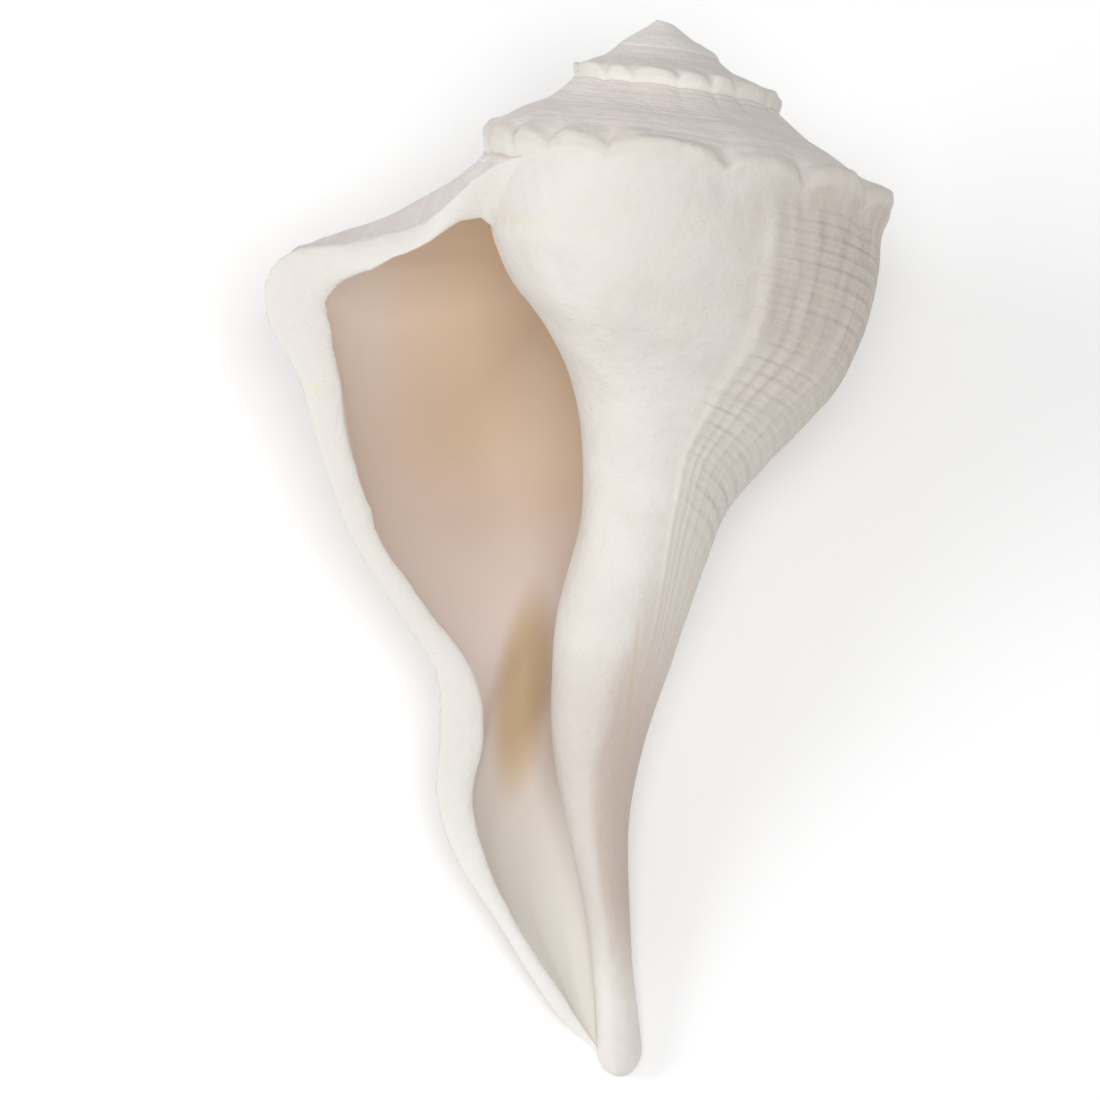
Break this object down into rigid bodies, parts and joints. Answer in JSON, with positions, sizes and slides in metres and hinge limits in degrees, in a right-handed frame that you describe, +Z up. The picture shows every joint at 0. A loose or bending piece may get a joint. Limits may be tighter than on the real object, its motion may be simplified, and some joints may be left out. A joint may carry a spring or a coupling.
{
  "type": "conch shell",
  "caption": "Left-handed knobbed whelk shell with a low spire, a flared open mouth and a long tapering canal, lying on its back.",
  "frame": {"origin": "on the surface that the shell lies on, under the centre of its bounding box", "axes": "+Y along the shell towards the spire, +Z up out of the mouth, +X away from the outer lip"},
  "size_m": [0.1184, 0.188, 0.098],
  "materials": {
    "shell": "matte, sun-bleached, with a satin tan lining inside the mouth"
  },
  "bodies": {
    "root": {"shell": "shell"}
  },
  "joints": []
}
